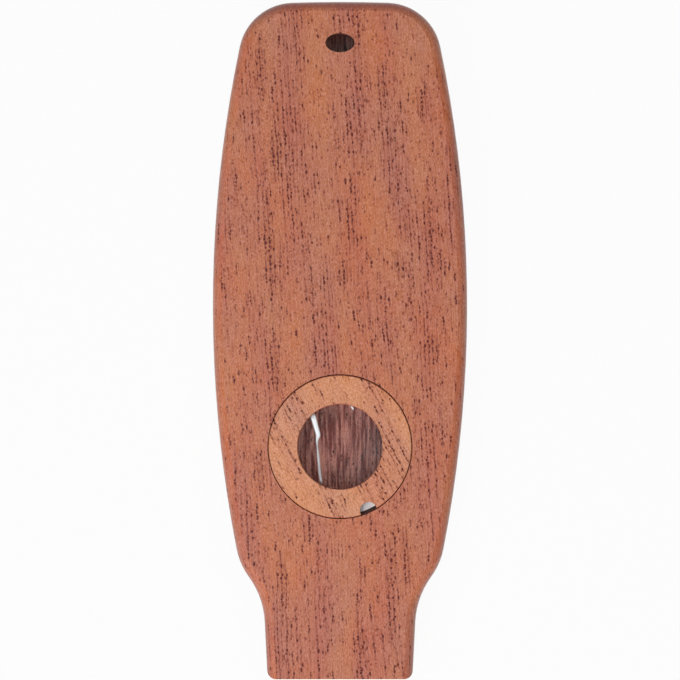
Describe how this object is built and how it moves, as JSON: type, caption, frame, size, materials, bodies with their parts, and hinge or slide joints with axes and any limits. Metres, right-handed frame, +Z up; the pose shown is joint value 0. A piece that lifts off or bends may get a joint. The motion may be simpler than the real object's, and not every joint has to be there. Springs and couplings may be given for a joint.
{
  "type": "kazoo",
  "caption": "Flat wooden kazoo with a narrow mouth end, a hollow air chamber and a clear buzzing film in a round window under a lift-out magnetic ring.",
  "frame": {"origin": "middle of the back face, on which the kazoo lies", "axes": "+Z up out of the front face, +Y along the body from the mouth end to the far end, +X to the right of the front"},
  "size_m": [0.0414, 0.11, 0.013],
  "materials": {
    "front_wood": "oiled mahogany-type wood, satin",
    "back_wood": "oiled dark walnut-type wood, satin",
    "ring_wood": "pale orange mahogany-type wood, satin",
    "washer_steel": "bright, fine brushed",
    "magnet_plating": "nickel plate",
    "clear_film": "clear, creased"
  },
  "bodies": {
    "body": {"front_plate": "front_wood", "side_frame": "back_wood", "back_plate": "back_wood", "keeper_ring": "washer_steel"},
    "film": {"membrane": "clear_film"},
    "ring": {"retaining_ring": "ring_wood", "ring_magnet_1": "magnet_plating", "ring_magnet_2": "magnet_plating", "ring_magnet_3": "magnet_plating", "ring_magnet_4": "magnet_plating"}
  },
  "joints": [
    {"name": "membrane_lift", "type": "slide", "parent": "body", "child": "film", "axis": [0, 0, 1], "range_m": [0, 0.015]},
    {"name": "ring_lift", "type": "slide", "parent": "film", "child": "ring", "axis": [0, 0, 1], "range_m": [0, 0.02]}
  ]
}
